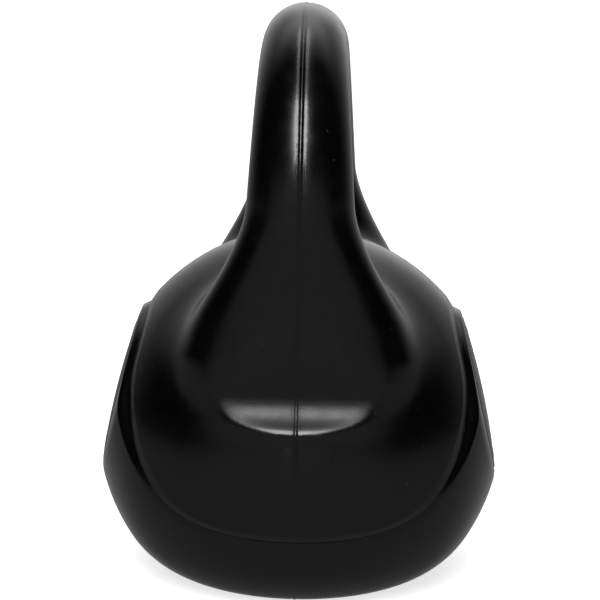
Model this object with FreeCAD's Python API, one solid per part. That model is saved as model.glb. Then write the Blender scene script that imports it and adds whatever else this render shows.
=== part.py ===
"""Kettlebell: a one-piece moulded plastic shell, filled with cement round a steel rod.

The handle lies in the XZ plane, Y runs from front to back and +Z is up. The origin is the
centre of the flat base. All lengths are millimetres.
"""

import FreeCAD, Part
import math
import os
from FreeCAD import Matrix, Vector

# Whole object
TOTAL_HEIGHT = 244.5
WALL = 2.5  # plastic wall of the shell

# Core: the upper body, an ellipsoid whose top shows between the legs of the handle
CORE_HALF_X = 88.0
CORE_HALF_Y = 86.0
CORE_HALF_Z = 91.0
CORE_CENTRE_Z = 57.0

# Boot: the lower body with the flat base, and a broad, very slightly domed face at front and back
BOOT_RADIUS = 87.0
BOOT_CENTRE_Z = 64.8
BOOT_STRETCH_X = 1.02  # half width over half depth
BASE_EDGE_RADIUS = 42.0
BASE_TRIM = 1.1  # height that the flat base takes off the rounded form
FACE_DISTANCE = 79.8  # from the boot's centre to the middle of each face
FACE_TILT = 14.3  # degrees that each face leans back
FACE_RADIUS = 300.0  # of the ball that each face is part of

# Step line between core and boot, seen from the front: an arch that runs out to the sides
ARCH_RADIUS = 38.5
ARCH_CENTRE_Z = 77.0
ARCH_END_ANGLE = 33.0  # degrees above horizontal where the arch leaves its circle
SWEEP_RADIUS = 28.0  # curve that turns the line level at the sides
SIDE_LINE_Z = 33.0

# Handle: an arch between an outer and an inner curve, seen from the front
BAR_THICKNESS = 36.0
ARCH_FOOT_Z = 149.5  # where both curves stand upright
ARCH_OUTER_HALF_WIDTH = 78.0
ARCH_INNER_HALF_WIDTH = 42.0
ARCH_OUTER_POWER = 2.45  # 2 would be an ellipse, and more is squarer
ARCH_INNER_POWER = 2.8
ARCH_STATIONS = 9  # sections from foot to top
FLARE_HALF_DEPTH = 9.3  # how much wider than the bar the foot is, to front and back
FLARE_LENGTH = 21.0  # height over which that fades to about a third
# Right leg below the foot, as (height, outer X, inner X, half depth): it flares into the core
LEG_SECTIONS = (
    (141.0, 78.1, 36.5, 31.5),
    (131.0, 78.3, 29.5, 36.5),
    (118.0, 78.5, 24.0, 41.0),
    (104.0, 78.4, 24.0, 42.0),
    (90.0, 76.9, 26.0, 38.0),
    (74.0, 73.0, 28.0, 34.0),
)

# Ledge where the outside of each leg is set in from the core, straight along Y
LEDGE_X = 78.0
LEDGE_TOP_Z = 93.0  # below this the ledge curves outwards
LEDGE_RADIUS = 13.0

# Reinforcing rod, a steel U inside the handle
ROD_RADIUS = 5.0
ROD_BEND_RADIUS = 42.0
ROD_FOOT_Z = 80.0

# Filler plug in the base
PLUG_CAP_RADIUS = 21.0
PLUG_CAP_THICKNESS = 1.2
PLUG_SPIGOT_RADIUS = 16.0
PLUG_SPIGOT_DEPTH = 9.0

# Labels, one disc in a shallow recess of each face
LABEL_RADIUS = 33.0
LABEL_THICKNESS = 0.5
LABEL_CENTRE_Z = 79.5

FAR = 200.0  # further than any point of the object from its middle


def scaled(shape, sx, sy, sz, shift_z=0.0):
    """The shape stretched along the three axes and then raised."""
    matrix = Matrix(sx, 0, 0, 0, 0, sy, 0, 0, 0, 0, sz, shift_z, 0, 0, 0, 1)
    return shape.transformGeometry(matrix)


def above_ledge(side, inset):
    """What the ledge takes off the core on one side, through the whole depth."""
    face_x = side * (LEDGE_X - inset)
    radius = LEDGE_RADIUS + inset
    diagonal = radius * (1 - math.sqrt(0.5))
    start = Vector(face_x, -FAR, LEDGE_TOP_Z)
    middle = Vector(face_x + side * diagonal, -FAR, LEDGE_TOP_Z - radius + diagonal)
    end = Vector(face_x + side * radius, -FAR, LEDGE_TOP_Z - radius)
    corners = [end, Vector(side * FAR, -FAR, end.z), Vector(side * FAR, -FAR, FAR)]
    corners += [Vector(face_x, -FAR, FAR), start]
    edges = [Part.Arc(start, middle, end).toShape()]
    for here, there in zip(corners, corners[1:]):
        edges.append(Part.LineSegment(here, there).toShape())
    return Part.Face(Part.Wire(edges)).extrude(Vector(0, 2 * FAR, 0))


def core_solid(inset):
    core = scaled(
        Part.makeSphere(1.0),
        CORE_HALF_X - inset,
        CORE_HALF_Y - inset,
        CORE_HALF_Z - inset,
        CORE_CENTRE_Z,
    )
    for side in (-1, 1):
        core = core.cut(above_ledge(side, inset))
    return core


def boot_profile(inset):
    """Half outline of the boot in the XZ plane: a circle, the rounded base edge and the base."""
    radius = BOOT_RADIUS - inset
    edge = BASE_EDGE_RADIUS - inset
    reach = radius - edge
    edge_centre_z = BASE_EDGE_RADIUS - BASE_TRIM
    edge_x = math.sqrt(reach**2 - (BOOT_CENTRE_Z - edge_centre_z) ** 2)
    edge_centre = Vector(edge_x, 0, edge_centre_z)
    centre = Vector(0, 0, BOOT_CENTRE_Z)
    outwards = (edge_centre - centre).normalize()
    top = centre + Vector(0, 0, radius)
    side = centre + Vector(radius, 0, 0)
    meeting = centre + outwards * radius
    edge_middle = edge_centre + (outwards + Vector(0, 0, -1)).normalize() * edge
    base_rim = edge_centre + Vector(0, 0, -edge)
    base_middle = Vector(0, 0, base_rim.z)
    return Part.Wire(
        [
            Part.Arc(top, side, meeting).toShape(),
            Part.Arc(meeting, edge_middle, base_rim).toShape(),
            Part.LineSegment(base_rim, base_middle).toShape(),
            Part.LineSegment(base_middle, top).toShape(),
        ]
    )


def face_centre(side):
    """Centre of the ball that gives the front (side -1) or the back (side +1) its face."""
    tilt = math.radians(FACE_TILT)
    normal = Vector(0, side * math.cos(tilt), math.sin(tilt))
    return Vector(0, 0, BOOT_CENTRE_Z) + normal * (FACE_DISTANCE - FACE_RADIUS)


def face_ball(side, inset):
    """The ball inside one face: whatever of the boot lies outside it is taken off."""
    return Part.makeSphere(FACE_RADIUS - inset, face_centre(side))


def boot_solid(inset):
    outline = Part.Face(boot_profile(inset))
    turned = outline.revolve(Vector(0, 0, 0), Vector(0, 0, 1), 360)
    boot = scaled(turned, BOOT_STRETCH_X, 1.0, 1.0)
    boot = boot.cut(Part.makeBox(2 * FAR, 2 * FAR, FAR, Vector(-FAR, -FAR, inset - FAR)))
    for side in (-1, 1):
        boot = boot.common(face_ball(side, inset))
    return boot


def step_line(side, shrink):
    """The step line from the top of the arch out to one side, moved into the boot by shrink."""
    angle = math.radians(ARCH_END_ANGLE)
    halfway = math.radians((90 + ARCH_END_ANGLE) / 2)
    centre_z = ARCH_CENTRE_Z
    radius = ARCH_RADIUS - shrink
    sweep_radius = SWEEP_RADIUS + shrink
    side_line_z = SIDE_LINE_Z - shrink
    slope = math.pi / 2 - angle  # of the straight stretch, downwards
    top = Vector(0, 0, centre_z + radius)
    middle = Vector(side * radius * math.cos(halfway), 0, centre_z + radius * math.sin(halfway))
    leave = Vector(side * radius * math.cos(angle), 0, centre_z + radius * math.sin(angle))
    sweep_start_z = side_line_z + sweep_radius * (1 - math.cos(slope))
    run = (leave.z - sweep_start_z) / math.tan(slope)
    sweep_start = Vector(leave.x + side * run, 0, sweep_start_z)
    sweep_end_x = sweep_start.x + side * sweep_radius * math.sin(slope)
    sweep_centre = Vector(sweep_end_x, 0, side_line_z + sweep_radius)
    back = Vector(-side * math.sin(slope / 2), 0, -math.cos(slope / 2))
    sweep_middle = sweep_centre + back * sweep_radius
    sweep_end = Vector(sweep_end_x, 0, side_line_z)
    edge_of_zone = Vector(side * FAR, 0, side_line_z)
    return [
        Part.Arc(top, middle, leave).toShape(),
        Part.LineSegment(leave, sweep_start).toShape(),
        Part.Arc(sweep_start, sweep_middle, sweep_end).toShape(),
        Part.LineSegment(sweep_end, edge_of_zone).toShape(),
    ]


def boot_zone(shrink):
    """Everything below the step line moved by shrink, through the whole depth."""
    side_line_z = SIDE_LINE_Z - shrink
    floor_left = Vector(-FAR, 0, -FAR)
    floor_right = Vector(FAR, 0, -FAR)
    border = [
        Part.LineSegment(Vector(-FAR, 0, side_line_z), floor_left).toShape(),
        Part.LineSegment(floor_left, floor_right).toShape(),
        Part.LineSegment(floor_right, Vector(FAR, 0, side_line_z)).toShape(),
    ]
    edges = step_line(-1, shrink) + step_line(1, shrink) + border
    outline = Part.Face(Part.Wire(Part.__sortEdges__(edges)))
    outline.translate(Vector(0, -FAR, 0))
    return outline.extrude(Vector(0, 2 * FAR, 0))


def handle_section(centre_x, centre_z, angle, half_wide, half_deep):
    """An ellipse across the handle, whose outward direction stands at the angle in degrees."""
    cos_a = math.cos(math.radians(angle))
    sin_a = math.sin(math.radians(angle))
    across = (half_wide * cos_a, 0, -sin_a, centre_x)
    through = (0, half_deep, 0, 0)
    upwards = (half_wide * sin_a, 0, cos_a, centre_z)
    matrix = Matrix(*across, *through, *upwards, 0, 0, 0, 1)
    return Part.Wire(Part.makeCircle(1.0).transformGeometry(matrix))


def arch_point(half_width, top_z, power, turn):
    """A point of an arch curve, at a turn from 0 at the foot to 90 degrees at the top."""
    across = half_width * math.cos(turn) ** (2 / power)
    up = (top_z - ARCH_FOOT_Z) * math.sin(turn) ** (2 / power)
    return Vector(across, 0, ARCH_FOOT_Z + up)


def arch_section(turn):
    """Centre X, centre Z, angle, half width and half depth of the right half of the arch."""
    window_top = TOTAL_HEIGHT - BAR_THICKNESS
    outer = arch_point(ARCH_OUTER_HALF_WIDTH, TOTAL_HEIGHT, ARCH_OUTER_POWER, turn)
    inner = arch_point(ARCH_INNER_HALF_WIDTH, window_top, ARCH_INNER_POWER, turn)
    centre = (outer + inner) / 2
    across = outer - inner
    angle = math.degrees(math.atan2(across.z, across.x))
    flare = FLARE_HALF_DEPTH * math.exp((ARCH_FOOT_Z - centre.z) / FLARE_LENGTH)
    return centre.x, centre.z, angle, across.Length / 2, BAR_THICKNESS / 2 + flare


def handle_solid(inset):
    """The whole handle as one loft, from the foot of the right leg to that of the left."""
    right = []
    for height, outer, inner, half_deep in reversed(LEG_SECTIONS):
        right.append(((outer + inner) / 2, height, 0, (outer - inner) / 2, half_deep))
    for station in range(ARCH_STATIONS):
        right.append(arch_section(math.radians(90 * station / ARCH_STATIONS)))
    top = [(0, TOTAL_HEIGHT - BAR_THICKNESS / 2, 90, BAR_THICKNESS / 2, BAR_THICKNESS / 2)]
    left = [(-x, z, 180 - angle, wide, deep) for x, z, angle, wide, deep in reversed(right)]
    wires = []
    for x, z, angle, wide, deep in right + top + left:
        wires.append(handle_section(x, z, angle, wide - inset, deep - inset))
    return Part.makeLoft(wires, True, False)


def whole_form(inset, shrink):
    """The core and handle above the step line, and the boot below it, each moved in by inset."""
    zone = boot_zone(shrink)
    core = core_solid(inset).fuse(handle_solid(inset)).cut(zone)
    boot = boot_solid(inset).common(zone)
    return core.fuse(boot).removeSplitter()


def inner_form():
    """The outside moved in by the wall, also at the step, whichever of its sides stands out."""
    return whole_form(WALL, WALL).common(whole_form(WALL, -WALL))


def plug_solid():
    cap = Part.makeCylinder(PLUG_CAP_RADIUS, PLUG_CAP_THICKNESS)
    spigot = Part.makeCylinder(PLUG_SPIGOT_RADIUS, PLUG_SPIGOT_DEPTH)
    return cap.fuse(spigot).removeSplitter()


def label_solid(side):
    """A disc let into a face, with its outer side level with the face."""
    centre = face_centre(side)
    lean = math.asin((LABEL_CENTRE_Z - centre.z) / FACE_RADIUS)
    normal = Vector(0, side * math.cos(lean), math.sin(lean))
    disc = Part.makeCylinder(LABEL_RADIUS, FACE_RADIUS, centre, normal)
    return disc.common(face_ball(side, 0)).cut(face_ball(side, LABEL_THICKNESS))


def rod_solid():
    """A round bar bent to a U along the middle of the handle."""
    bar_z = TOTAL_HEIGHT - BAR_THICKNESS / 2
    leg_x = (ARCH_OUTER_HALF_WIDTH + ARCH_INNER_HALF_WIDTH) / 2
    corner_x = leg_x - ROD_BEND_RADIUS
    corner_z = bar_z - ROD_BEND_RADIUS
    diagonal = ROD_BEND_RADIUS * math.sqrt(0.5)
    edges = []
    for side in (-1, 1):
        foot = Vector(side * leg_x, 0, ROD_FOOT_Z)
        leg_top = Vector(side * leg_x, 0, corner_z)
        middle = Vector(side * (corner_x + diagonal), 0, corner_z + diagonal)
        bar_end = Vector(side * corner_x, 0, bar_z)
        edges.append(Part.LineSegment(foot, leg_top).toShape())
        edges.append(Part.Arc(leg_top, middle, bar_end).toShape())
    bar = Part.LineSegment(Vector(-corner_x, 0, bar_z), Vector(corner_x, 0, bar_z)).toShape()
    edges.append(bar)
    path = Part.Wire(Part.__sortEdges__(edges))
    foot = Vector(-leg_x, 0, ROD_FOOT_Z)
    ring = Part.Wire(Part.makeCircle(ROD_RADIUS, foot, Vector(0, 0, 1)))
    return path.makePipeShell([ring], True, False)


def build():
    plug = plug_solid()
    rod = rod_solid()
    labels = {"front_label": label_solid(-1), "back_label": label_solid(1)}
    inside = inner_form()
    shell = whole_form(0, 0).cut(inside).cut(plug)
    for label in labels.values():
        shell = shell.cut(label)
    ballast = inside.cut(rod).cut(plug)
    return {
        "shell": shell,
        "ballast": ballast,
        "reinforcing_rod": rod,
        "filler_plug": plug,
        **labels,
    }


def main():
    os.makedirs("parts", exist_ok=True)
    for name, shape in build().items():
        solids = shape.Solids
        print(name, len(solids), "solid", "valid" if shape.isValid() else "INVALID", end=" ")
        print(f"{shape.Volume / 1000:.1f} cm3", shape.BoundBox)
        whole = solids[0] if len(solids) == 1 else shape
        whole.exportStep(os.path.join("parts", name + ".step"))


main()
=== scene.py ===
"""A black kettlebell with a blow-moulded plastic shell, on a pale studio floor."""

import math

import bpy
import numpy as np
from mathutils import Matrix, Vector


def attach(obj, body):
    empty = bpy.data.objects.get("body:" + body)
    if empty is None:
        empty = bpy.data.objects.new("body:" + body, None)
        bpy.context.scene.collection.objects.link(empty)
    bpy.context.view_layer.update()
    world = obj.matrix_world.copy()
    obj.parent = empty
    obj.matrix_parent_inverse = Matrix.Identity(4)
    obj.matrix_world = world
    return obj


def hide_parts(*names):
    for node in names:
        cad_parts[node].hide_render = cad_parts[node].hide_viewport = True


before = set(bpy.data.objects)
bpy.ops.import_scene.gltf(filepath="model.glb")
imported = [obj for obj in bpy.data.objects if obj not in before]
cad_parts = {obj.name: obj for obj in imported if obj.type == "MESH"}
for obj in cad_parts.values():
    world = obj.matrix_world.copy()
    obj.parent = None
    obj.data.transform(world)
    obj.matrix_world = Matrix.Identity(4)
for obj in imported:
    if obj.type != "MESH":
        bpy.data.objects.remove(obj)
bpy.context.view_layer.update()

# ---------------------------------------------------------------------------------------
# Driving dimensions, in millimetres. X runs along the grip bar, Y from front to back.
# ---------------------------------------------------------------------------------------
TOP_Z = 244.25

CORE_HALF = np.array([87.75, 85.8, 91.0])
CORE_CENTRE = np.array([0.0, 0.0, 57.0])

BOOT_RADIUS = 87.0
BOOT_CENTRE_Z = 64.8
BOOT_STRETCH_X = 1.02
BASE_EDGE_RADIUS = 42.0
BASE_TRIM = 1.1  # height that the flat base takes off the rounded form

FACE_DISTANCE = 79.8  # from the boot's centre to the middle of each face
FACE_TILT = math.radians(14.3)
FACE_RADIUS = 300.0  # each face is very slightly domed
FACE_EDGE = 1.2  # softness of its rim

# Handle, between two superellipses seen from the front
BAR = 36.0
FOOT_Z = 149.5  # where both curves stand upright
OUTER_HALF_WIDTH = 78.0
INNER_HALF_WIDTH = 42.0
OUTER_POWER = 2.45
INNER_POWER = 2.8
BAR_HALF_DEPTH = 18.0
DEPTH_TAPER = 0.063  # how fast the legs get deeper, per mm downwards
DEPTH_TAPER_TOP = 229.0
FLARE_DEPTH = 15.6  # extra half depth of the legs where they meet the core
FLARE_Z = (169.0, 114.0)  # where that starts and is complete
FOOT_NARROWING = 10.0  # half depth that is lost again as the legs sink into the core
FOOT_NARROWING_Z = (109.0, 84.0)
FLARE_BLEND = 22.0  # how wide the legs melt into the core
LEG_POWER = 2.2  # section of the lower legs: 2 would be an ellipse, and more is squarer
LEG_POWER_Z = (190.0, 140.0)  # where the section starts and stops changing
LEG_END_Z = 100.0  # below this the leg's tube runs out inside the core
LEG_END_RATE = 0.02  # how fast it does
THINNEST_HALF = 4.0  # the tube's half width never counts as less than this

# Ledge where the outside of each leg is set in from the core
LEDGE_Z = 93.3
LEDGE_X = 77.9
LEDGE_RADIUS = 13.0
LEDGE_STEEPEST = 0.8  # share of the radius, downwards, where the curve turns into a slope
LEDGE_SLOPE = LEDGE_STEEPEST / math.sqrt(1 - LEDGE_STEEPEST**2)

# Rounding between the legs' outer face and flanks, and the shift that keeps the face in place
SOFTNESS_Z = (90.0, 96.0, 120.0, 150.0, 190.0)
SOFTNESS = (2.4, 4.0, 6.0, 6.0, 0.01)
FACE_SHIFT = (0.0, 0.1, 0.8, 1.5, 0.0)

# Step line between core and boot, seen from the front
ARCH_RADIUS = 38.5
ARCH_CENTRE_Z = 77.0
ARCH_END = math.radians(33.0)
SWEEP_RADIUS = 28.0
SIDE_LINE_Z = 33.0
STEP_WALL = 4.6  # width of the core's side of the step
STEP_LIP = 2.2  # width of the boot's rounded lip
STEP_DEPTH = 0.7  # how far the crease between them lies below both

# Mould parting line, in the plane Y = 0
PARTING_HEIGHT = 0.22
PARTING_HALF = 0.45  # half width of the ridge, and of each groove beside it
PARTING_GROOVE = 0.10
PARTING_GROOVE_Y = 1.3

# Recesses for the plug and the labels
RECESS_EDGE = 0.9  # width of a recess's sloping rim
PLUG_RECESS_RADIUS = 21.6
PLUG_RECESS_DEPTH = 1.6
LABEL_RECESS_RADIUS = 33.4
LABEL_RECESS_DEPTH = 0.45
LABEL_RECESS_FADE = (1.0, -0.4)  # dome's distance less the form's: none at 1.0, full at -0.4
LABEL_MIN_Y = 50.0  # both labels lie further out than this

# Labels
LABEL_CENTRE_Z = 79.5
LABEL_RADIUS = 33.0
LABEL_PROUD = 0.12  # how far the label stands out from the face
LABEL_THICKNESS = 0.5
LABEL_RING = (26.5, 28.5)
LABEL_RING_HEIGHT = 0.12
LABEL_FILLET = 0.3

# Filler plug
PLUG_RADIUS = 21.0
PLUG_FILLET = 0.5
PLUG_CAP_THICKNESS = 1.5
PLUG_CAP_CHAMFER = 0.2
PLUG_DISH_RADIUS = 12.5
PLUG_DISH_DEPTH = 0.6
PLUG_GROOVE_RADIUS = 17.1  # fine groove round the underside of the cap
PLUG_GROOVE_DEPTH = 0.2
PLUG_SPIGOT_RADIUS = 16.0
PLUG_SPIGOT_FILLET = 0.8
PLUG_RIBS_Z = (3.2, 5.4)  # gripping ribs round the spigot
PLUG_RIB_HEIGHT = 0.4
PLUG_DEPTH = 9.0

# Mesh: the grid that it starts from, and the edges that it is then cut to
GRID = 1.8
GRID_REACH = (90.0, 88.0)  # half sizes along X and Y, outside the form
GRID_TOP = 246.0
GRID_MARGIN = 1.5  # in cells
FINE_EDGE = 0.45  # at the parting line
SHORT_EDGE = 0.6  # at the crease of the step
RIM_EDGE = 0.63  # at the rims of the recesses
MEDIUM_EDGE = 0.9  # on the rest of the step
ANY_EDGE = 10.0  # elsewhere: longer than any edge of the grid
EDGE_TOLERANCE = 1.35  # an edge is cut when it is longer than its target by this factor
MOST_SPLIT_ROUNDS = 12
NORMAL_STEP = 0.03
LONGEST_MOVE = 1.0  # towards the surface, in one round
RELAX_SHARE = 0.6
LINE_SHARE = 0.45  # of the local edge length: vertices this close to the step line move onto it

# Where short edges are wanted
STEP_BORDER = (1.5, 1.0)  # beyond the core's and the boot's side of the step
STEP_TOP_Z = 125.0
CREASE_REACH = 2.5
PARTING_REACH = 2.6
PARTING_CORE = 1.9
RIM_REACH = 1.5
LABEL_LOWEST_Z = 40.0
PLUG_HIGHEST_Z = 4.0


# ---------------------------------------------------------------------------------------
# The outer form, as a function that is negative inside
# ---------------------------------------------------------------------------------------
def smooth_min(a, b, width):
    """The smaller of two distances, rounded where they are within width of each other."""
    overlap = np.maximum(width - np.abs(a - b), 0) / width
    return np.minimum(a, b) - overlap * overlap * width / 4


def smooth_max(a, b, width):
    return -smooth_min(-a, -b, width)


def ramp(value, start, end):
    """0 at start and 1 at end, with soft ends."""
    t = np.clip((value - start) / (end - start), 0, 1)
    return t * t * (3 - 2 * t)


def ellipsoid(p, centre, half):
    """Approximate distance outside an ellipsoid."""
    q = p - centre
    k0 = np.linalg.norm(q / half, axis=-1)
    k1 = np.linalg.norm(q / half**2, axis=-1) + 1e-12
    return k0 * (k0 - 1) / k1


def arch(x, z, half_width, height, power):
    """Distance outside one curve of the handle: a superellipse on upright sides."""
    u = np.abs(x) / half_width
    v = np.maximum(z - FOOT_Z, 0) / height
    k = (u**power + v**power + 1e-12) ** (1 / power)
    along_x = u ** (power - 1) / half_width
    along_z = v ** (power - 1) / height
    slope = k ** (1 - power) * np.hypot(along_x, along_z)
    return (k - 1) / np.maximum(slope, 1e-3)


def handle(p, outer, inner):
    """The handle's tube between the two curves: elliptical, and squarer in the lower legs."""
    z = p[..., 2]
    half_width = np.maximum((inner - outer) / 2, THINNEST_HALF)
    across = (inner + outer) / 2
    half_depth = BAR_HALF_DEPTH + DEPTH_TAPER * np.maximum(DEPTH_TAPER_TOP - z, 0)
    half_depth = half_depth + FLARE_DEPTH * ramp(z, *FLARE_Z)
    half_depth = half_depth - FOOT_NARROWING * ramp(z, *FOOT_NARROWING_Z)
    power = 2 + (LEG_POWER - 2) * ramp(z, *LEG_POWER_Z)
    a = np.abs(across) / half_width
    b = np.abs(p[..., 1]) / half_depth
    k = (a**power + b**power + 1e-9) ** (1 / power)
    along_a = a ** (power - 1) / half_width
    along_b = b ** (power - 1) / half_depth
    slope = k ** (1 - power) * np.hypot(along_a, along_b)
    tube = (k - 1) / np.maximum(slope, 1e-2)
    return tube + LEG_END_RATE * np.maximum(LEG_END_Z - z, 0) ** 2


def outer_face(z, outer):
    """The legs' outer side, straight along Y, which curves out into a ledge on the core."""
    fall = np.clip((LEDGE_Z - z) / LEDGE_RADIUS, 0, LEDGE_STEEPEST)
    below = np.maximum(LEDGE_Z - z - LEDGE_STEEPEST * LEDGE_RADIUS, 0)
    ledge = LEDGE_RADIUS * (1 - np.sqrt(1 - fall**2)) + below * LEDGE_SLOPE
    lean = (OUTER_HALF_WIDTH - LEDGE_X) * np.clip((FOOT_Z - z) / (FOOT_Z - LEDGE_Z), 0, 1)
    return outer + lean - ledge


def upper_form(p):
    """Core and handle, melted together."""
    x, z = p[..., 0], p[..., 2]
    outer = arch(x, z, OUTER_HALF_WIDTH, TOP_Z - FOOT_Z, OUTER_POWER)
    inner = arch(x, z, INNER_HALF_WIDTH, TOP_Z - BAR - FOOT_Z, INNER_POWER)
    body = smooth_min(ellipsoid(p, CORE_CENTRE, CORE_HALF), handle(p, outer, inner), FLARE_BLEND)
    softness = np.interp(z, SOFTNESS_Z, SOFTNESS)
    return smooth_max(body, outer_face(z, outer) - np.interp(z, SOFTNESS_Z, FACE_SHIFT), softness)


def face_centre():
    """Centre of the sphere that forms a domed face, as (Y, Z) with Y taken as positive."""
    reach = FACE_DISTANCE - FACE_RADIUS
    return math.cos(FACE_TILT) * reach, BOOT_CENTRE_Z + math.sin(FACE_TILT) * reach


def face_dome(p):
    """Distance outside the domed face that is nearer."""
    centre_y, centre_z = face_centre()
    y = np.abs(p[..., 1]) - centre_y
    z = p[..., 2] - centre_z
    return np.sqrt(p[..., 0] ** 2 + y**2 + z**2) - FACE_RADIUS


def boot_form(p):
    """Lower body: a sphere with a rounded flat base and two domed faces."""
    z = p[..., 2]
    radial = np.hypot(p[..., 0] / BOOT_STRETCH_X, p[..., 1])
    edge_z = BASE_EDGE_RADIUS - BASE_TRIM
    small = BOOT_RADIUS - BASE_EDGE_RADIUS
    drop = BOOT_CENTRE_Z - edge_z
    edge_r = math.sqrt(small**2 - drop**2)
    sphere = np.hypot(radial, z - BOOT_CENTRE_Z) - small
    rim = np.hypot(radial - edge_r, z - edge_z)
    under = np.where(radial > edge_r, rim, edge_z - z)
    is_under = (BOOT_CENTRE_Z - z) * edge_r > radial * drop
    rounded = np.where(is_under, under, sphere) - BASE_EDGE_RADIUS
    return smooth_max(rounded, face_dome(p), FACE_EDGE)


def step_distance(x, z):
    """Distance to the step line seen from the front, positive on the boot's side."""
    x = np.abs(x)
    slope = math.pi / 2 - ARCH_END
    leave_x = ARCH_RADIUS * math.cos(ARCH_END)
    leave_z = ARCH_CENTRE_Z + ARCH_RADIUS * math.sin(ARCH_END)
    sweep_start_z = SIDE_LINE_Z + SWEEP_RADIUS * (1 - math.cos(slope))
    run = (leave_z - sweep_start_z) / math.sin(slope)
    sweep_x = leave_x + run * math.cos(slope) + SWEEP_RADIUS * math.sin(slope)
    sweep_z = SIDE_LINE_Z + SWEEP_RADIUS
    along = (x - leave_x) * math.cos(slope) - (z - leave_z) * math.sin(slope)
    line = -(x - leave_x) * math.sin(slope) - (z - leave_z) * math.cos(slope)
    circle = ARCH_RADIUS - np.hypot(x, z - ARCH_CENTRE_Z)
    sweep = np.hypot(x - sweep_x, z - sweep_z) - SWEEP_RADIUS
    on_circle = (along < 0) & (x * math.sin(ARCH_END) < (z - ARCH_CENTRE_Z) * math.cos(ARCH_END))
    distance = np.where(on_circle, circle, line)
    distance = np.where((along > run) & (z < sweep_z), sweep, distance)
    return np.where(x > sweep_x, SIDE_LINE_Z - z, distance)


def label_lean():
    """Angle between level and the direction from the face's centre to the label."""
    return math.asin((LABEL_CENTRE_Z - face_centre()[1]) / FACE_RADIUS)


def label_radius(p):
    """Distance from the axis of the nearer label."""
    centre_y, centre_z = face_centre()
    lean = label_lean()
    up = (p[..., 2] - centre_z) * math.cos(lean) - (np.abs(p[..., 1]) - centre_y) * math.sin(lean)
    return np.hypot(p[..., 0], up)


def stepped_form(p):
    """Core and handle above the step line and boot below it, with a crease between them."""
    upper, boot = upper_form(p), boot_form(p)
    s = step_distance(p[..., 0], p[..., 2])
    crease = np.maximum(upper, boot) + STEP_DEPTH
    wall = np.clip(-s / STEP_WALL, 0, 1)
    lip = np.sin(np.clip(s / STEP_LIP, 0, 1) * math.pi / 2)
    side = np.where(s < 0, wall, lip)
    return crease + (np.where(s < 0, upper, boot) - crease) * side


def form(p):
    """The whole outer surface, with the step, parting line and recesses."""
    value = stepped_form(p)
    y = np.abs(p[..., 1])
    value = value - PARTING_HEIGHT * np.exp(-((y / PARTING_HALF) ** 2))
    value = value + PARTING_GROOVE * np.exp(-(((y - PARTING_GROOVE_Y) / PARTING_HALF) ** 2))
    on_face = ramp(face_dome(p) - value, *LABEL_RECESS_FADE) * (y > LABEL_MIN_Y)
    recess = ramp(label_radius(p), LABEL_RECESS_RADIUS + RECESS_EDGE, LABEL_RECESS_RADIUS)
    value = value + LABEL_RECESS_DEPTH * recess * on_face
    radial = np.hypot(p[..., 0], p[..., 1])
    base = PLUG_RECESS_DEPTH * ramp(radial, PLUG_RECESS_RADIUS + RECESS_EDGE, PLUG_RECESS_RADIUS)
    return np.maximum(value, base - p[..., 2])


# ---------------------------------------------------------------------------------------
# From the function to a mesh
# ---------------------------------------------------------------------------------------
def gradient(p):
    result = np.zeros_like(p)
    for axis in range(3):
        move = np.zeros(3)
        move[axis] = NORMAL_STEP
        result[:, axis] = (form(p + move) - form(p - move)) / (2 * NORMAL_STEP)
    return result


def onto_surface(p, rounds=3):
    """Moves points along the gradient until they lie on the surface."""
    flattest = 0.05  # keeps the division safe where the gradient is nearly zero
    for _ in range(rounds):
        g = gradient(p)
        scale = form(p) / np.maximum((g * g).sum(1), flattest)
        p = p - np.clip(scale, -LONGEST_MOVE, LONGEST_MOVE)[:, None] * g
    return p


def symmetric_axis(reach):
    """Grid positions on both sides of zero, out past the reach."""
    half = np.arange(0.5, reach / GRID + GRID_MARGIN) * GRID
    return np.concatenate([-half[::-1], half])


def grid_values(axes):
    """The form at every grid point, worked out in one quarter and mirrored."""
    half_x, half_y = len(axes[0]) // 2, len(axes[1]) // 2
    corner = np.meshgrid(axes[0][half_x:], axes[1][half_y:], axes[2], indexing="ij")
    quarter = form(np.stack(corner, -1))
    half = np.concatenate([quarter[::-1], quarter], 0)
    return np.concatenate([half[:, ::-1], half], 1)


def surface_net():
    """Vertices and quads where the form changes sign on a box grid."""
    upright = np.arange(-GRID_MARGIN, GRID_TOP / GRID + GRID_MARGIN) * GRID
    axes = [symmetric_axis(GRID_REACH[0]), symmetric_axis(GRID_REACH[1]), upright]
    values = grid_values(axes)
    shape = values.shape
    strides = np.array([shape[1] * shape[2], shape[2], 1])
    cells, points, quads = [], [], []
    for axis in range(3):
        here = [slice(None)] * 3
        there = [slice(None)] * 3
        here[axis], there[axis] = slice(0, -1), slice(1, None)
        f0, f1 = values[tuple(here)], values[tuple(there)]
        index = np.argwhere((f0 < 0) != (f1 < 0))
        v0, v1 = f0[tuple(index.T)], f1[tuple(index.T)]
        point = np.stack([axes[k][index[:, k]] for k in range(3)], 1)
        point[:, axis] += GRID * v0 / (v0 - v1)
        b, c = (axis + 1) % 3, (axis + 2) % 3
        corner_cells = []
        for back_b, back_c in ((0, 0), (1, 0), (1, 1), (0, 1)):
            cell = index @ strides - back_b * strides[b] - back_c * strides[c]
            corner_cells.append(cell)
            cells.append(cell)
            points.append(point)
        quad = np.stack(corner_cells, 1)
        inwards = v0 > v1
        quad[inwards] = quad[inwards][:, ::-1]
        quads.append(quad)
    cells, points = np.concatenate(cells), np.concatenate(points)
    ids, inverse, count = np.unique(cells, return_inverse=True, return_counts=True)
    verts = np.stack([np.bincount(inverse, points[:, k]) for k in range(3)], 1) / count[:, None]
    return verts, np.searchsorted(ids, np.concatenate(quads))


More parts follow.
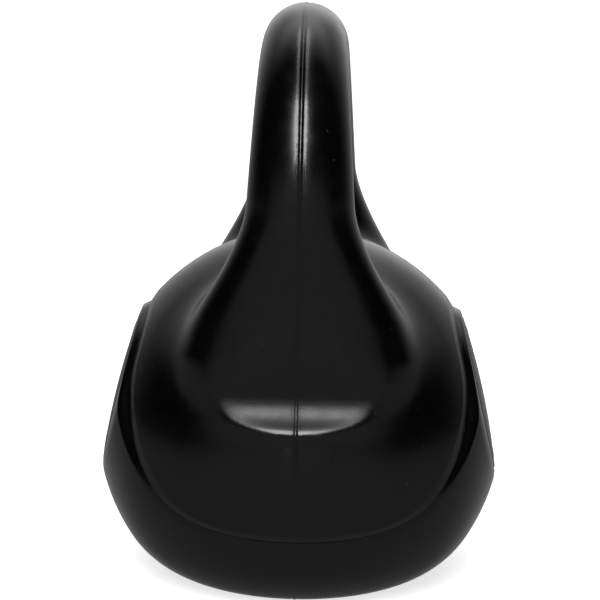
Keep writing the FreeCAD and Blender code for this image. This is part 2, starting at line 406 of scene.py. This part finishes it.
def triangles(verts, quads):
    """Each quad cut along the diagonal that lies nearer to the surface."""
    first = np.abs(form((verts[quads[:, 0]] + verts[quads[:, 2]]) / 2))
    second = np.abs(form((verts[quads[:, 1]] + verts[quads[:, 3]]) / 2))
    a = quads[first <= second]
    b = quads[first > second]
    return np.concatenate([a[:, [0, 1, 2]], a[:, [0, 2, 3]], b[:, [1, 2, 3]], b[:, [1, 3, 0]]])


def target_edge(p):
    """The longest edge allowed at a point: short at the step, the parting line and recesses."""
    edge = np.full(len(p), ANY_EDGE)
    y, z = np.abs(p[:, 1]), p[:, 2]
    s = step_distance(p[:, 0], z)
    on_step = (s > -STEP_WALL - STEP_BORDER[0]) & (s < STEP_LIP + STEP_BORDER[1]) & (z < STEP_TOP_Z)
    edge[on_step] = MEDIUM_EDGE
    edge[on_step & (s > -CREASE_REACH)] = SHORT_EDGE
    edge[y < PARTING_REACH] = np.minimum(edge[y < PARTING_REACH], SHORT_EDGE)
    edge[y < PARTING_CORE] = FINE_EDGE
    label = np.abs(label_radius(p) - LABEL_RECESS_RADIUS - RECESS_EDGE / 2)
    edge[(label < RIM_REACH) & (y > LABEL_MIN_Y) & (z > LABEL_LOWEST_Z)] = RIM_EDGE
    plug = np.abs(np.hypot(p[:, 0], p[:, 1]) - PLUG_RECESS_RADIUS - RECESS_EDGE / 2)
    edge[(plug < RIM_REACH) & (z < PLUG_HIGHEST_Z)] = RIM_EDGE
    return edge


def edges_of(tris):
    return np.concatenate([tris[:, [0, 1]], tris[:, [1, 2]], tris[:, [2, 0]]])


def split_long_edges(verts, tris):
    """One round of cutting every edge that is longer than the target at its middle."""
    unique, inverse = np.unique(np.sort(edges_of(tris), 1), axis=0, return_inverse=True)
    middle = (verts[unique[:, 0]] + verts[unique[:, 1]]) / 2
    length = np.linalg.norm(verts[unique[:, 0]] - verts[unique[:, 1]], axis=1)
    cut = length > target_edge(middle) * EDGE_TOLERANCE
    if not cut.any():
        return verts, tris, False
    new_id = np.full(len(unique), -1)
    new_id[cut] = len(verts) + np.arange(cut.sum())
    verts = np.concatenate([verts, onto_surface(middle[cut])])
    return verts, cut_triangles(tris, new_id[inverse.reshape(3, -1).T]), True


def cut_triangles(tris, m):
    """Triangles cut at the middle vertices m of their three edges, where an edge has one."""
    has = m >= 0
    result = [tris[~has.any(1)]]
    for k in range(3):
        a, b, c = k, (k + 1) % 3, (k + 2) % 3
        one = has[:, a] & ~has[:, b] & ~has[:, c]
        t, n = tris[one], m[one]
        result.append(np.stack([t[:, a], n[:, a], t[:, c]], 1))
        result.append(np.stack([n[:, a], t[:, b], t[:, c]], 1))
        two = has[:, a] & has[:, b] & ~has[:, c]
        t, n = tris[two], m[two]
        result.append(np.stack([n[:, a], t[:, b], n[:, b]], 1))
        result.append(np.stack([t[:, a], n[:, a], n[:, b]], 1))
        result.append(np.stack([t[:, a], n[:, b], t[:, c]], 1))
    t, n = tris[has.all(1)], m[has.all(1)]
    result.append(np.stack([t[:, 0], n[:, 0], n[:, 2]], 1))
    result.append(np.stack([n[:, 0], t[:, 1], n[:, 1]], 1))
    result.append(np.stack([n[:, 2], n[:, 1], t[:, 2]], 1))
    result.append(n)
    return np.concatenate(result)


def relax(verts, tris, rounds, held=None):
    """Evens out the triangles by moving vertices along the surface, except those held."""
    start = verts
    edges = edges_of(tris)
    count = np.bincount(edges[:, 0], minlength=len(verts))
    for _ in range(rounds):
        total = [np.bincount(edges[:, 0], verts[edges[:, 1], k], len(verts)) for k in range(3)]
        verts = verts + RELAX_SHARE * (np.stack(total, 1) / count[:, None] - verts)
        verts = onto_surface(verts, 2)
        if held is not None:
            verts[held] = start[held]
    return verts


def step_gradient(p):
    e = 0.01
    gx = step_distance(p[:, 0] + e, p[:, 2]) - step_distance(p[:, 0] - e, p[:, 2])
    gz = step_distance(p[:, 0], p[:, 2] + e) - step_distance(p[:, 0], p[:, 2] - e)
    return np.stack([gx, np.zeros(len(p)), gz], 1) / (2 * e)


def towards_step_line(p):
    return p - step_distance(p[:, 0], p[:, 2])[:, None] * step_gradient(p)


def onto_step_line(verts, tris):
    """Moves the vertices next to the step line exactly onto it, and says which they are."""
    edges = edges_of(tris)
    length = np.linalg.norm(verts[edges[:, 0]] - verts[edges[:, 1]], axis=1)
    total = np.bincount(edges[:, 0], length, len(verts))
    size = total / np.bincount(edges[:, 0], minlength=len(verts))
    near = np.abs(step_distance(verts[:, 0], verts[:, 2])) < LINE_SHARE * size
    p = verts[near]
    for _ in range(3):
        p = onto_surface(towards_step_line(p), 1)
    verts[near] = towards_step_line(p)
    return verts, near


def shell_mesh():
    """Vertices and triangles of the whole outer surface."""
    verts, quads = surface_net()
    verts = onto_surface(verts)
    tris = triangles(verts, quads)
    verts = relax(verts, tris, 2)
    for _ in range(MOST_SPLIT_ROUNDS):
        verts, tris, more = split_long_edges(verts, tris)
        if not more:
            break
    verts = relax(verts, tris, 2)
    verts, held = onto_step_line(verts, tris)
    verts = relax(verts, tris, 1, held)
    return verts, tris


def mesh_object(name, verts, faces, material, normals=None):
    """An object from vertices in millimetres and faces that all have the same corner count."""
    mesh = bpy.data.meshes.new(name)
    mesh.vertices.add(len(verts))
    mesh.vertices.foreach_set("co", (np.asarray(verts) / 1000).astype(np.float32).ravel())
    mesh.loops.add(faces.size)
    mesh.loops.foreach_set("vertex_index", faces.ravel().astype(np.int32))
    mesh.polygons.add(len(faces))
    mesh.polygons.foreach_set("loop_start", np.arange(0, faces.size, faces.shape[1], dtype=np.int32))
    mesh.update(calc_edges=True)
    mesh.validate()
    mesh.shade_smooth()
    if normals is not None:
        mesh.normals_split_custom_set_from_vertices(normals)
    mesh.materials.append(material)
    obj = bpy.data.objects.new(name, mesh)
    bpy.context.scene.collection.objects.link(obj)
    return obj


def unit(v):
    return v / np.maximum(np.linalg.norm(v, axis=1), 1e-9)[:, None]


# ---------------------------------------------------------------------------------------
# Materials
# ---------------------------------------------------------------------------------------
IOR_PLASTIC = 1.5
SHELL_BLACK = (0.001, 0.001, 0.0011, 1)
SHELL_SCUFFED = (0.02, 0.02, 0.021, 1)
SHELL_ROUGHNESS = (0.20, 0.26)
SCUFF_ROUGHNESS = 0.2
LEDGE_EXTRA_ROUGHNESS = 0.18

# Heights of the bumps, in metres
SHELL_WAVE = 0.00012
SHELL_MOTTLE = 0.000012
SHELL_GRAIN = 0.000004
LEDGE_GRAIN = 0.00005
LABEL_GRAIN = 0.000005


def grey(value):
    return (value, value, value, 1)


class Tree:
    """Short calls for building a node tree."""

    def __init__(self, tree):
        self.tree = tree

    def add(self, kind, inputs=None, **settings):
        node = self.tree.nodes.new(kind)
        for key, value in settings.items():
            setattr(node, key, value)
        for key, value in (inputs or {}).items():
            if isinstance(value, bpy.types.NodeSocket):
                self.tree.links.new(value, node.inputs[key])
            else:
                node.inputs[key].default_value = value
        return node

    def maths(self, operation, a, b=0.0):
        return self.add("ShaderNodeMath", {0: a, 1: b}, operation=operation).outputs[0]

    def spread(self, value, low, high, out_low, out_high, kind="LINEAR"):
        """Maps low to high onto out_low to out_high, and holds the ends."""
        inputs = {0: value, 1: low, 2: high, 3: out_low, 4: out_high}
        return self.add("ShaderNodeMapRange", inputs, interpolation_type=kind).outputs[0]

    def rise(self, value, low, high):
        """0 at low and 1 at high, with soft ends."""
        return self.spread(value, low, high, 0.0, 1.0, "SMOOTHSTEP")


class Nodes(Tree):
    """The node tree of a new material."""

    def __init__(self, name):
        self.material = bpy.data.materials.new(name)
        self.material.use_nodes = True
        super().__init__(self.material.node_tree)
        self.shader = self.tree.nodes["Principled BSDF"]
        self.position = self.add("ShaderNodeTexCoord").outputs["Object"]

    def set(self, **values):
        """Sets or links the shader's inputs, by their names with _ for a space."""
        for key, value in values.items():
            socket = self.shader.inputs[key.replace("_", " ")]
            if isinstance(value, bpy.types.NodeSocket):
                self.tree.links.new(value, socket)
            else:
                socket.default_value = value

    def noise(self, scale, detail, rough):
        inputs = {"Vector": self.position, "Scale": scale, "Detail": detail, "Roughness": rough}
        return self.add("ShaderNodeTexNoise", inputs).outputs["Fac"]

    def mix(self, factor, a, b):
        node = self.add("ShaderNodeMix", {0: factor, 6: a, 7: b}, data_type="RGBA")
        return node.outputs[2]

    def bump(self, height, distance, normal=None):
        inputs = {"Height": height, "Distance": distance, "Strength": 1.0}
        if normal is not None:
            inputs["Normal"] = normal
        return self.add("ShaderNodeBump", inputs).outputs["Normal"]


def ledge_mask(n):
    """1 on the curved ledges below the legs, where the moulding is rough, and 0 elsewhere."""
    x, _, z = n.add("ShaderNodeSeparateXYZ", {0: n.position}).outputs
    across = n.maths("SUBTRACT", n.maths("ABSOLUTE", x), (LEDGE_X + LEDGE_RADIUS) / 1000)
    up = n.maths("SUBTRACT", z, LEDGE_Z / 1000)
    squares = n.maths("ADD", n.maths("MULTIPLY", across, across), n.maths("MULTIPLY", up, up))
    radial = n.maths("POWER", squares, 0.5)
    off = n.maths("ABSOLUTE", n.maths("SUBTRACT", radial, LEDGE_RADIUS / 1000))
    near = n.spread(off, 0.0002, 0.0007, 1, 0)
    return n.maths("MULTIPLY", near, n.spread(up, -0.0015, 0.0005, 1, 0))


def shell_material():
    """Black moulded plastic: satin gloss, fine grain, faint waviness and a few scuffs."""
    n = Nodes("shell_plastic_black")
    grain = n.noise(1500, 2, 0.6)
    mottle = n.noise(170, 3, 0.55)
    wave = n.noise(28, 2, 0.5)
    scuff_marks = n.spread(n.noise(420, 4, 0.7), 0.66, 0.72, 0, 1)
    scuff_areas = n.spread(n.noise(45, 2, 0.5), 0.5, 0.62, 0, 1)
    scuff = n.maths("MULTIPLY", scuff_marks, scuff_areas)
    ledge = ledge_mask(n)
    rough = n.spread(mottle, 0.3, 0.7, *SHELL_ROUGHNESS)
    rough = n.maths("ADD", rough, n.maths("MULTIPLY", scuff, SCUFF_ROUGHNESS))
    rough = n.maths("ADD", rough, n.maths("MULTIPLY", ledge, LEDGE_EXTRA_ROUGHNESS))
    normal = n.bump(wave, SHELL_WAVE)
    normal = n.bump(mottle, SHELL_MOTTLE, normal)
    normal = n.bump(grain, SHELL_GRAIN, normal)
    normal = n.bump(n.maths("MULTIPLY", grain, ledge), LEDGE_GRAIN, normal)
    n.set(Base_Color=n.mix(scuff, SHELL_BLACK, SHELL_SCUFFED), Roughness=rough)
    n.set(Normal=normal, IOR=IOR_PLASTIC)
    return n.material


def label_material(name):
    """Dark satin film with a fine grain and a few faint handling marks."""
    n = Nodes(name + "_film")
    grain = n.noise(1800, 2, 0.6)
    mark = n.spread(n.noise(160, 4, 0.65), 0.58, 0.72, 0, 1)
    n.set(Base_Color=n.mix(mark, grey(0.012), grey(0.022)))
    n.set(Roughness=n.spread(mark, 0, 1, 0.32, 0.42), IOR=IOR_PLASTIC)
    n.set(Normal=n.bump(grain, LABEL_GRAIN))
    return n.material


def plain_material(name, colour_a, colour_b, rough, scale, bump, metallic=0.0):
    """Two colours mixed by noise, with matching roughness and bump."""
    n = Nodes(name)
    field = n.noise(scale, 4, 0.6)
    n.set(Base_Color=n.mix(n.spread(field, 0.35, 0.65, 0, 1), colour_a, colour_b))
    n.set(Roughness=n.spread(field, 0.3, 0.7, rough * 0.85, min(rough * 1.15, 1.0)))
    n.set(Normal=n.bump(field, bump), Metallic=metallic)
    return n.material


# ---------------------------------------------------------------------------------------
# The pieces
# ---------------------------------------------------------------------------------------
def build_shell():
    verts, tris = shell_mesh()
    normals = unit(gradient(verts))
    shell = mesh_object("kettlebell_shell", verts, tris, shell_material(), normals)
    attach(shell, "root")
    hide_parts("shell")


def turned_disc(profile, steps=144):
    """Vertices and triangles of (radius, height) points turned round Z, from axis to axis."""
    verts = [(0.0, 0.0, profile[0][1])]
    for radius, height in profile[1:-1]:
        for k in range(steps):
            angle = 2 * math.pi * k / steps
            verts.append((radius * math.cos(angle), radius * math.sin(angle), height))
    verts.append((0.0, 0.0, profile[-1][1]))
    last = len(verts) - 1
    rings = len(profile) - 2
    faces = []
    for k in range(steps):
        j = (k + 1) % steps
        faces.append((0, 1 + k, 1 + j))
        faces.append((last, last - steps + j, last - steps + k))
        for ring in range(rings - 1):
            a = 1 + ring * steps
            faces.append((a + k, a + steps + k, a + steps + j))
            faces.append((a + k, a + steps + j, a + j))
    return np.array(verts), np.array(faces)


def rounded(radius, height, fillet, start, end, points=6):
    """Points of a rounded corner in a profile, whose fillet centre is at (radius, height)."""
    result = []
    for k in range(points):
        angle = math.radians(start + (end - start) * k / (points - 1))
        result.append((radius + fillet * math.cos(angle), height + fillet * math.sin(angle)))
    return result


def label_profile():
    """From the middle of the outer side over a raised ring and the rounded rim to the back."""
    def on_dome(radius, height):
        return radius, height - FACE_RADIUS + math.sqrt(FACE_RADIUS**2 - radius**2)

    inner, outer = LABEL_RING
    edge = LABEL_FILLET
    points = [on_dome(r, LABEL_PROUD) for r in np.linspace(0, inner - edge, 14)]
    points += [on_dome(r, LABEL_PROUD + LABEL_RING_HEIGHT) for r in np.linspace(inner, outer, 3)]
    points += [on_dome(r, LABEL_PROUD) for r in np.linspace(outer + edge, LABEL_RADIUS - edge, 5)]
    rim_z = on_dome(LABEL_RADIUS, LABEL_PROUD)[1]
    points += rounded(LABEL_RADIUS - edge, rim_z - edge, edge, 75, 0)
    points += [on_dome(r, -LABEL_THICKNESS) for r in np.linspace(LABEL_RADIUS, 0, 6)]
    return points


def build_labels():
    """One disc in the recess of each face, blank apart from a plain ring."""
    verts, faces = turned_disc(label_profile())
    centre_y, centre_z = face_centre()
    lean = label_lean()
    for name, side in (("front_label", -1), ("back_label", 1)):
        outwards = np.array([0.0, side * math.cos(lean), math.sin(lean)])
        across = np.array([-side, 0.0, 0.0])
        up = np.cross(outwards, across)
        middle = np.array([0.0, side * centre_y, centre_z]) + outwards * FACE_RADIUS
        placed = middle + verts[:, :1] * across + verts[:, 1:2] * up + verts[:, 2:] * outwards
        label = mesh_object(name + "_disc", placed, faces, label_material(name))
        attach(label, "root")
        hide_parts(name)


def plug_underside():
    """The plug's visible side: a shallow dish with a sloping rim, then a fine groove."""
    radius, depth = PLUG_DISH_RADIUS, PLUG_DISH_DEPTH
    points = [(0.0, depth), (5.0, depth), (radius - 1.0, depth), (radius - 0.4, depth * 0.75)]
    points += [(radius, depth * 0.25), (radius + 0.5, 0.0)]
    groove, deep = PLUG_GROOVE_RADIUS, PLUG_GROOVE_DEPTH
    points += [(groove - 0.6, 0.0), (groove - 0.3, deep), (groove + 0.3, deep)]
    points.append((groove + 0.6, 0.0))
    return points


def plug_profile():
    """From the middle of the underside over the rounded cap to the end of the ribbed spigot."""
    radius, chamfer = PLUG_RADIUS, PLUG_CAP_CHAMFER
    spigot, core = PLUG_SPIGOT_RADIUS, PLUG_SPIGOT_RADIUS - PLUG_RIB_HEIGHT
    top = PLUG_CAP_THICKNESS
    points = plug_underside()
    points += rounded(radius - PLUG_FILLET, PLUG_FILLET, PLUG_FILLET, -90, 0)
    points += [(radius, top - chamfer), (radius - chamfer, top), (spigot, top)]
    for rib in PLUG_RIBS_Z:
        points += [(core, top + 0.2), (core, rib - 0.5), (spigot, rib), (core, rib + 0.5)]
        top = rib + PLUG_RIB_HEIGHT
    end = PLUG_SPIGOT_FILLET
    points += rounded(core - end, PLUG_DEPTH - end, end, 0, 90)
    points.append((0.0, PLUG_DEPTH))
    return points


def build_plug():
    verts, faces = turned_disc(plug_profile())
    material = plain_material("plug_black", grey(0.008), grey(0.016), 0.5, 900, 0.00002)
    plug = mesh_object("filler_plug_turned", verts, faces[:, ::-1], material)
    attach(plug, "root")
    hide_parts("filler_plug")


def build_cad_looks():
    """Materials for the two pieces inside, which keep their CAD shape."""
    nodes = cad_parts
    cement = plain_material("cement", grey(0.36), grey(0.5), 0.85, 300, 0.0004)
    steel = plain_material("rod_steel", grey(0.4), grey(0.52), 0.4, 900, 0.00003, metallic=1.0)
    for name, material in (("ballast", cement), ("reinforcing_rod", steel)):
        nodes[name].data.materials.clear()
        nodes[name].data.materials.append(material)


# ---------------------------------------------------------------------------------------
# Studio, in metres. The camera looks along -X, at the side of the object.
# ---------------------------------------------------------------------------------------
CAMERA_DISTANCE = 1.1
CAMERA_ELEVATION = math.radians(11.3)
CAMERA_YAW = math.radians(1.1)
CAMERA_ROLL = math.radians(0.9)
CAMERA_TARGET = Vector((0, 0, 0.1178))
CAMERA_SENSOR = 36.0  # in millimetres, like the lens
CAMERA_LENS = 154.26
CAMERA_SHIFT_X = -0.0028333

# Surroundings. Angles are level ones, away from the camera's side. Each _Z pair is a range of
# heights, as the Z of a unit direction. In each pair a soft edge runs from the first to the second.
AXIS_TURN = math.radians(-2.5)  # middle of the surroundings, turned from +X
BEHIND_ANGLES = (math.radians(94), math.radians(178))  # white wall opposite the camera
BEHIND_LEVEL = 0.58
MIDDLE_ANGLES = (math.radians(155), math.radians(176))  # its brighter middle
MIDDLE_EXTRA = 0.4
HIGH_Z = (0.5, 0.72)  # its brighter top
HIGH_EXTRA = 0.75
ZENITH_Z = (0.75, 0.95)  # part of which is lost again straight above
ZENITH_LOSS = 0.5
FRONT_ANGLES = (math.radians(38), math.radians(66))  # low band on the camera's side
FRONT_TOP_Z = (0.12, 0.24)
FRONT_LEVEL = 0.22
STRIP_Z = (0.8, 0.88)  # narrow strip overhead, along the grip bar
STRIP_Y = (0.08, 0.2)
STRIP_LEVEL = 2.2
GROUND_LEVEL = 0.20
GROUND_SLOPE = 0.08  # brighter towards +X
GROUND_BEHIND_Z = (-0.65, -0.3)  # brighter far away, opposite the camera
GROUND_BEHIND = 0.28
HORIZON_Z = (-0.07, 0.02)  # from ground to walls

SOFTBOX_SIZE = (0.64, 1.08)
SOFTBOX_RADIANCE = 12.0
SOFTBOX_DISTANCE = 1.5
SOFTBOX_TARGET = Vector((0, 0, 0.12))
SOFTBOX_ELEVATION = math.radians(37.5)
SOFTBOX_TURN = math.radians(-3)

FLOOR_RADIUS = 8.0
FLOOR_FLAT_RADIUS = 5.0
FLOOR_RINGS = 40
FLOOR_STEPS = 96
FLOOR_DROP = 0.0005  # keeps the floor off the base


def direction_towards(elevation, turn):
    """Unit vector at an elevation, turned from +X."""
    level = math.cos(elevation)
    return Vector((level * math.cos(turn), level * math.sin(turn), math.sin(elevation)))


def make_camera():
    data = bpy.data.cameras.new("camera")
    data.sensor_width = CAMERA_SENSOR
    data.lens = CAMERA_LENS
    data.shift_x = CAMERA_SHIFT_X
    data.clip_start = 0.01
    camera = bpy.data.objects.new("camera", data)
    bpy.context.scene.collection.objects.link(camera)
    towards = direction_towards(CAMERA_ELEVATION, CAMERA_YAW)
    right = Vector((0, 0, 1)).cross(towards).normalized()
    up = towards.cross(right)
    axis_x = right * math.cos(CAMERA_ROLL) + up * math.sin(CAMERA_ROLL)
    axis_y = up * math.cos(CAMERA_ROLL) - right * math.sin(CAMERA_ROLL)
    turn = Matrix((axis_x, axis_y, towards)).transposed().to_4x4()
    camera.matrix_world = Matrix.Translation(CAMERA_TARGET + towards * CAMERA_DISTANCE) @ turn
    bpy.context.scene.camera = camera


def walls(n, side, behind, z):
    """Brightness above the horizon: white behind and above, a dim low band in front."""
    zenith = n.maths("MULTIPLY", n.rise(z, *ZENITH_Z), ZENITH_LOSS)
    high = n.maths("SUBTRACT", n.rise(z, *HIGH_Z), zenith)
    level = n.maths("ADD", n.maths("MULTIPLY", high, HIGH_EXTRA), BEHIND_LEVEL)
    wide = n.maths("MULTIPLY", behind, level)
    middle = n.maths("MULTIPLY", n.rise(side, *MIDDLE_ANGLES), MIDDLE_EXTRA)
    back = n.maths("ADD", wide, n.maths("MULTIPLY", middle, n.maths("SUBTRACT", 1.0, high)))
    front = n.maths("SUBTRACT", 1.0, n.rise(side, *FRONT_ANGLES))
    low = n.maths("SUBTRACT", 1.0, n.rise(z, *FRONT_TOP_Z))
    band = n.maths("MULTIPLY", n.maths("MULTIPLY", front, low), FRONT_LEVEL)
    return n.maths("ADD", back, band)


def overhead_strip(n, y, z):
    """Brightness of the strip above the grip bar."""
    narrow = n.maths("SUBTRACT", 1.0, n.rise(n.maths("ABSOLUTE", y), *STRIP_Y))
    return n.maths("MULTIPLY", n.maths("MULTIPLY", n.rise(z, *STRIP_Z), narrow), STRIP_LEVEL)


def ground(n, behind, x, z):
    """Brightness below the horizon."""
    far = n.maths("MULTIPLY", n.maths("MULTIPLY", behind, n.rise(z, *GROUND_BEHIND_Z)), GROUND_BEHIND)
    near = n.maths("ADD", n.maths("MULTIPLY", x, GROUND_SLOPE), GROUND_LEVEL)
    return n.maths("ADD", near, far)


def make_world():
    """White behind and overhead, black at the sides, dim in front."""
    world = bpy.data.worlds.new("studio")
    bpy.context.scene.world = world
    world.use_nodes = True
    n = Tree(world.node_tree)
    direction = n.add("ShaderNodeTexCoord").outputs["Generated"]
    x, y, z = n.add("ShaderNodeSeparateXYZ", {0: direction}).outputs
    side = n.maths("ABSOLUTE", n.maths("SUBTRACT", n.maths("ARCTAN2", y, x), AXIS_TURN))
    behind = n.rise(side, *BEHIND_ANGLES)
    upper = n.maths("ADD", walls(n, side, behind, z), overhead_strip(n, y, z))
    above = n.rise(z, *HORIZON_Z)
    below = n.maths("SUBTRACT", 1.0, above)
    lower = n.maths("MULTIPLY", ground(n, behind, x, z), below)
    strength = n.maths("ADD", n.maths("MULTIPLY", upper, above), lower)
    background = n.tree.nodes["Background"]
    n.tree.links.new(strength, background.inputs["Strength"])
    background.inputs["Color"].default_value = grey(1)


def make_softbox():
    """One oval light, above and behind the camera."""
    data = bpy.data.lights.new("softbox", "AREA")
    data.shape = "ELLIPSE"
    data.size, data.size_y = SOFTBOX_SIZE
    area = math.pi / 4 * data.size * data.size_y
    data.energy = SOFTBOX_RADIANCE * math.pi * area
    light = bpy.data.objects.new("softbox", data)
    bpy.context.scene.collection.objects.link(light)
    towards = direction_towards(SOFTBOX_ELEVATION, SOFTBOX_TURN)
    light.location = SOFTBOX_TARGET + towards * SOFTBOX_DISTANCE
    light.rotation_euler = towards.to_track_quat("Z", "Y").to_euler()
    light.visible_camera = False


def floor_mesh():
    """A disc of rings, flat in the middle and curving up far away."""
    steps = FLOOR_STEPS
    verts = [(0.0, 0.0, 0.0)]
    for ring in range(1, FLOOR_RINGS + 1):
        radius = FLOOR_RADIUS * (ring / FLOOR_RINGS) ** 1.5
        height = 0.5 * max(radius - FLOOR_FLAT_RADIUS, 0.0) ** 2
        for k in range(steps):
            angle = 2 * math.pi * k / steps
            verts.append((radius * math.cos(angle), radius * math.sin(angle), height))
    faces = [(0, 1 + k, 1 + (k + 1) % steps) for k in range(steps)]
    for ring in range(FLOOR_RINGS - 1):
        a = 1 + ring * steps
        for k in range(steps):
            j = (k + 1) % steps
            faces.append((a + k, a + steps + k, a + steps + j, a + j))
    mesh = bpy.data.meshes.new("floor")
    mesh.from_pydata(verts, [], faces)
    mesh.shade_smooth()
    return mesh


def make_floor():
    """A large pale floor, which isn't seen in the shell's reflections."""
    mesh = floor_mesh()
    n = Nodes("floor_pale")
    n.set(Base_Color=grey(0.85), Roughness=0.9)
    n.set(Emission_Color=grey(1), Emission_Strength=0.75)
    mesh.materials.append(n.material)
    floor = bpy.data.objects.new("floor", mesh)
    floor.location.z = -FLOOR_DROP
    bpy.context.scene.collection.objects.link(floor)
    floor.visible_glossy = False
    floor.visible_diffuse = False
    floor.visible_shadow = False


build_cad_looks()
build_shell()
build_labels()
build_plug()
make_camera()
make_world()
make_softbox()
make_floor()
bpy.context.scene.view_settings.view_transform = "Standard"
